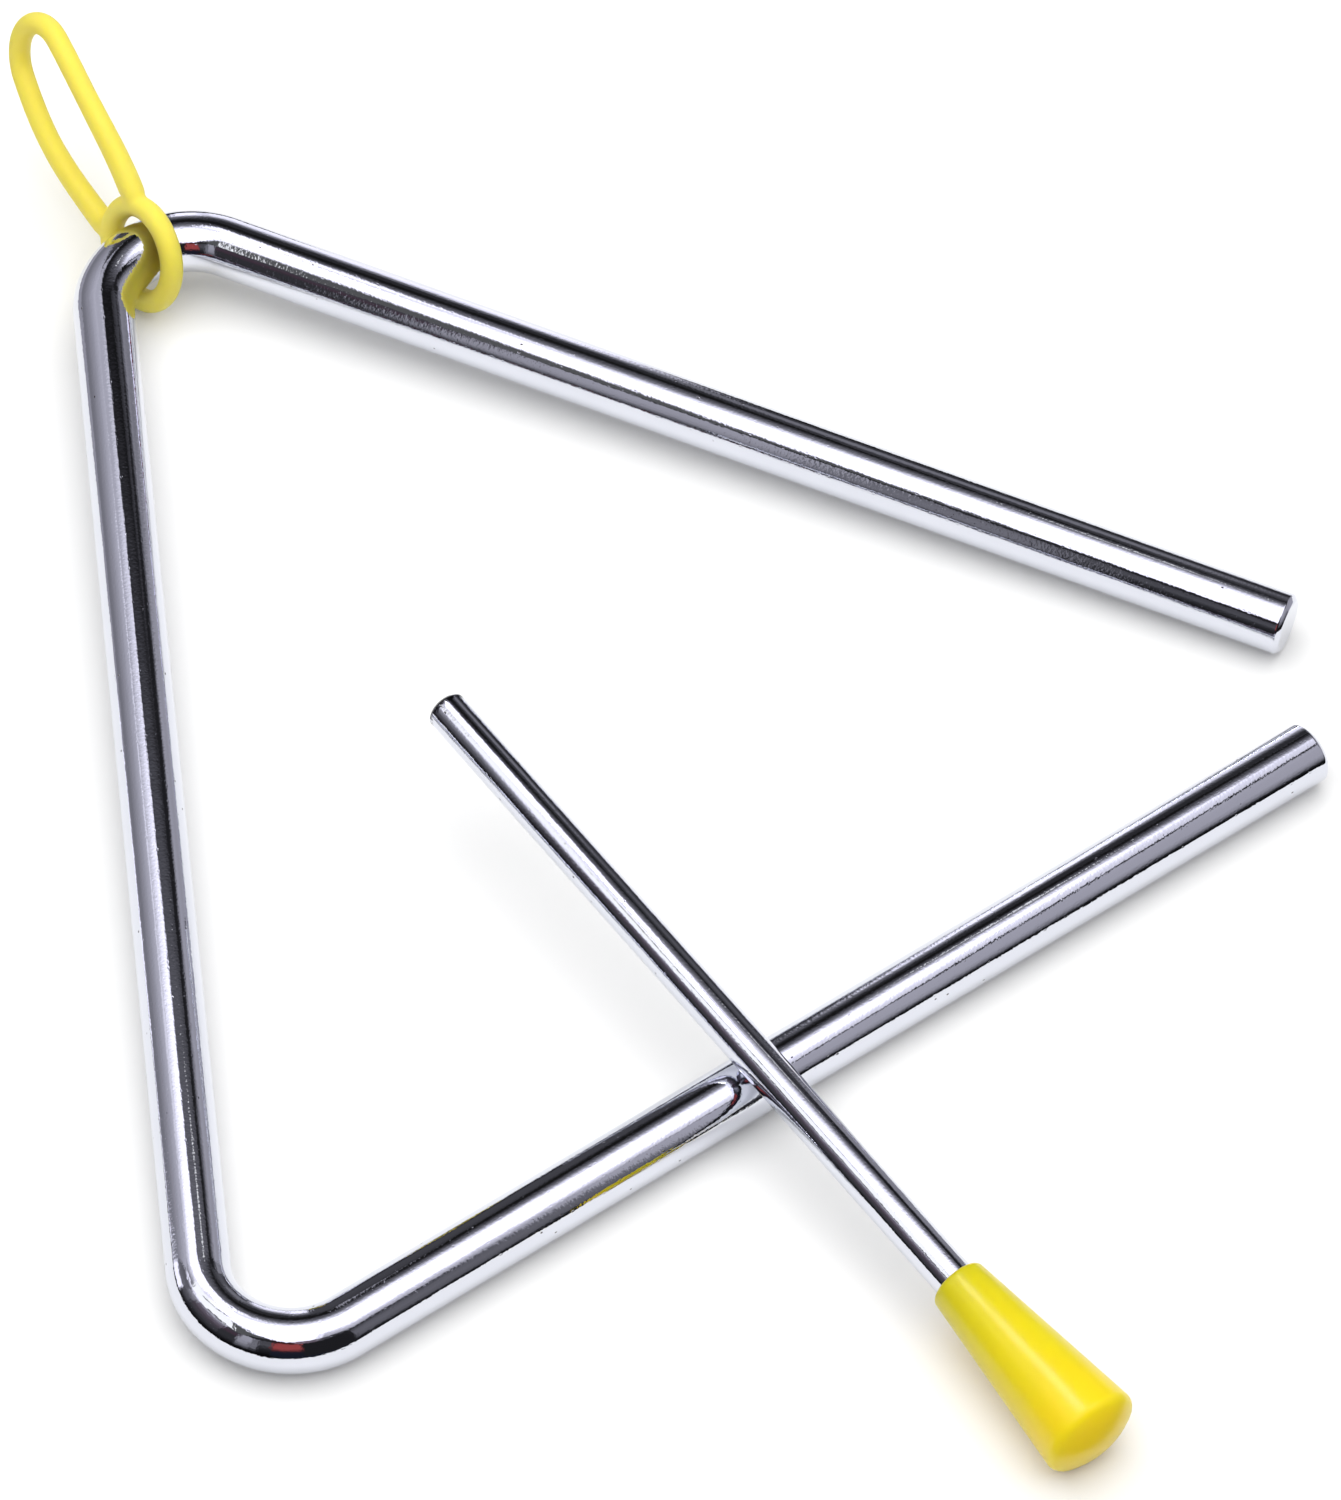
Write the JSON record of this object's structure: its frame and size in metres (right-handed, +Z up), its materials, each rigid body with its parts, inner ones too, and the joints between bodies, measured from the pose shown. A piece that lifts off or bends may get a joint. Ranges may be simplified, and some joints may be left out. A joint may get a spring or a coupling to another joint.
{
  "type": "triangle instrument",
  "caption": "Open-cornered musical triangle bent from round chromed bar, with a yellow moulded finger loop round a bend and a steel beater with a tapered yellow grip lying across its base.",
  "frame": {"origin": "on the table, under the middle of the box round the whole object", "axes": "+X along the bottom leg towards the open corner, +Y from the bottom leg towards the corner with the finger loop, +Z up from the table"},
  "size_m": [0.1756, 0.251, 0.0249],
  "materials": {
    "chromed_bar": "mirror-bright chrome plate",
    "loop_rubber": "smooth, slightly translucent moulded rubber",
    "chromed_rod": "mirror-bright chrome plate",
    "grip_plastic": "satin-gloss moulded plastic"
  },
  "bodies": {
    "triangle": {"triangle_bar": "chromed_bar"},
    "hanger": {"hanger_loop": "loop_rubber"},
    "beater": {"beater_rod": "chromed_rod", "beater_grip": "grip_plastic"}
  },
  "joints": [
    {"name": "hanger_swing", "type": "hinge", "parent": "triangle", "child": "hanger", "pos_m": [0.00126, 0.09234, 0.00762], "axis": [1, 0, 0], "continuous": true},
    {"name": "beater_lift", "type": "slide", "parent": "triangle", "child": "beater", "axis": [0, 0, 1], "range_m": [0, 0.15]}
  ]
}
